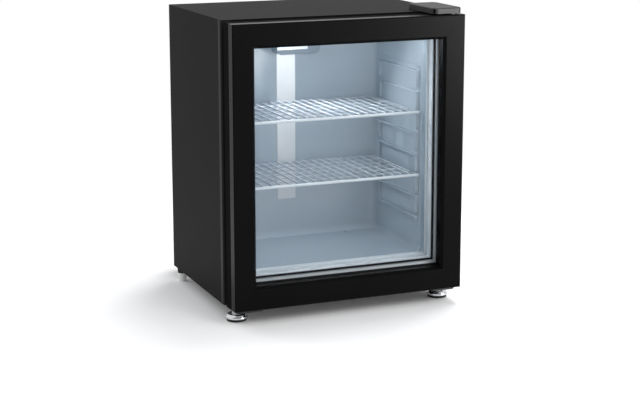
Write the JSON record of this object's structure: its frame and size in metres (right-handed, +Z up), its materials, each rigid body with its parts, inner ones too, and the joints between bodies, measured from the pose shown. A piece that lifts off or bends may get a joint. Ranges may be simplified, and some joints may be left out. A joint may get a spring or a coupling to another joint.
{
  "type": "minibar fridge",
  "caption": "Compact hotel fridge with a framed glass door, wire shelves on ribbed racks, a lamp, and a silent cooling unit behind.",
  "frame": {"origin": "on the floor, under the middle of the whole fridge", "axes": "+X to the right of someone who faces the door, +Y to the rear, +Z up"},
  "size_m": [0.385, 0.395, 0.476],
  "materials": {
    "cabinet_steel": "satin",
    "foam": "matte",
    "white_liner": "satin",
    "white_trim": "satin",
    "shelf_coat": "satin",
    "lamp_case": "satin",
    "lamp_diffuser": "satin",
    "board": "matte",
    "door_black": "satin",
    "black_plastic": "matte",
    "natural_plastic": "satin",
    "glass": "polished",
    "spacer_metal": "satin",
    "gasket_rubber": "matte",
    "foot_rubber": "matte",
    "magnet": "satin",
    "black_steel": "satin",
    "bright_steel": "satin",
    "chrome": "polished",
    "unit_black": "satin",
    "evaporator_metal": "satin",
    "sleeve_steel": "satin"
  },
  "bodies": {
    "cabinet": {"side_panel_left": "cabinet_steel", "side_panel_right": "cabinet_steel", "top_panel": "cabinet_steel", "base_panel": "cabinet_steel", "rear_panel": "cabinet_steel", "foam_body": "foam", "liner": "white_liner", "breaker_strips": "white_trim", "side_rack_left": "white_liner", "side_rack_right": "white_liner", "lamp_housing": "lamp_case", "lamp_lens": "lamp_diffuser", "led_board": "board", "light_strip": "lamp_diffuser", "reed_switch": "glass", "hinge_plate_lower": "black_steel", "hinge_plate_upper": "black_steel", "foot_plate_left": "black_steel", "plate_screws": "bright_steel", "hinge_pin_lower": "bright_steel", "hinge_pin_upper": "bright_steel", "hinge_cover": "black_plastic", "rear_feet": "black_plastic", "evaporator_plate": "evaporator_metal", "evaporator_tube": "unit_black", "drain_tube": "natural_plastic", "unit_brackets": "unit_black", "absorber_tank": "unit_black", "absorber_coil": "unit_black", "boiler_sleeve": "sleeve_steel", "liquid_pipe": "unit_black", "riser_pipe": "unit_black", "condenser_tube": "unit_black", "condenser_fins": "unit_black", "rear_guard": "unit_black", "control_box": "black_plastic", "thermostat_body": "natural_plastic", "power_inlet": "black_plastic"},
    "door": {"door_rail_bottom": "door_black", "door_rail_top": "door_black", "door_stile_left": "door_black", "door_stile_right": "door_black", "corner_keys": "black_plastic", "outer_glass": "glass", "inner_glass": "glass", "glass_spacer": "spacer_metal", "door_inner_frame": "white_trim", "door_gasket": "gasket_rubber", "door_magnet": "magnet", "door_bushes": "natural_plastic"},
    "shelf_upper": {"shelf_upper": "shelf_coat"},
    "shelf_lower": {"shelf_lower": "shelf_coat"},
    "front_foot_left": {"front_foot_left_pad": "foot_rubber", "front_foot_left_cup": "chrome", "front_foot_left_stud": "bright_steel"},
    "front_foot_right": {"front_foot_right_pad": "foot_rubber", "front_foot_right_cup": "chrome", "front_foot_right_stud": "bright_steel"},
    "thermostat": {"thermostat_spindle": "bright_steel", "thermostat_knob": "black_plastic"}
  },
  "joints": [
    {"name": "door_hinge", "type": "hinge", "parent": "cabinet", "child": "door", "pos_m": [0.1785, -0.1775, 0.2455], "axis": [0, 0, 1], "range_deg": [0, 110]},
    {"name": "shelf_upper_slide", "type": "slide", "parent": "cabinet", "child": "shelf_upper", "axis": [0, -1, 0], "range_m": [0, 0.028]},
    {"name": "shelf_lower_slide", "type": "slide", "parent": "cabinet", "child": "shelf_lower", "axis": [0, -1, 0], "range_m": [0, 0.028]},
    {"name": "front_foot_left_turn", "type": "hinge", "parent": "cabinet", "child": "front_foot_left", "pos_m": [-0.174, -0.1505, 0.002], "axis": [0, 0, 1], "continuous": true},
    {"name": "front_foot_right_turn", "type": "hinge", "parent": "cabinet", "child": "front_foot_right", "pos_m": [0.174, -0.1505, 0.002], "axis": [0, 0, 1], "continuous": true},
    {"name": "thermostat_turn", "type": "hinge", "parent": "cabinet", "child": "thermostat", "pos_m": [-0.135, 0.1741, 0.086], "axis": [0, 1, 0], "range_deg": [0, 270]}
  ]
}
